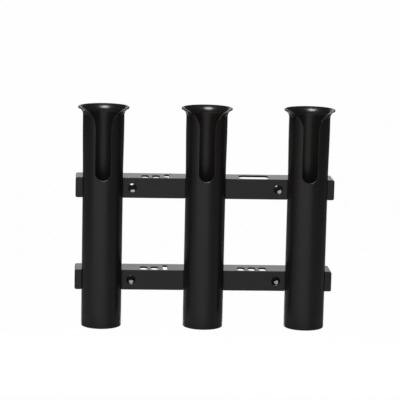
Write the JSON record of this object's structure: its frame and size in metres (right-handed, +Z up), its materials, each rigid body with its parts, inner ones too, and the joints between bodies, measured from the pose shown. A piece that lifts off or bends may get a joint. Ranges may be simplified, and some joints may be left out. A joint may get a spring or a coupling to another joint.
{
  "type": "rod rack",
  "caption": "Wall rack for fishing rods: flared tubes with a front slot for the reel, screwed to open-backed rails with tool slots.",
  "frame": {"origin": "the middle of the four wall-screw holes, on the plane of the wall behind the rails", "axes": "+X to the right along the rails as seen from the front, +Y back into the wall, +Z up along the tubes"},
  "size_m": [0.323, 0.0636, 0.2765],
  "materials": {
    "tube_plastic": "satin",
    "rail_plastic": "satin",
    "screw_steel": "polished"
  },
  "bodies": {
    "root": {"left_tube": "tube_plastic", "middle_tube": "tube_plastic", "right_tube": "tube_plastic", "upper_rail": "rail_plastic", "lower_rail": "rail_plastic", "screw_left_upper_1": "screw_steel", "screw_left_upper_2": "screw_steel", "screw_left_lower_1": "screw_steel", "screw_left_lower_2": "screw_steel", "screw_middle_upper_1": "screw_steel", "screw_middle_upper_2": "screw_steel", "screw_middle_lower_1": "screw_steel", "screw_middle_lower_2": "screw_steel", "screw_right_upper_1": "screw_steel", "screw_right_upper_2": "screw_steel", "screw_right_lower_1": "screw_steel", "screw_right_lower_2": "screw_steel"}
  },
  "joints": []
}
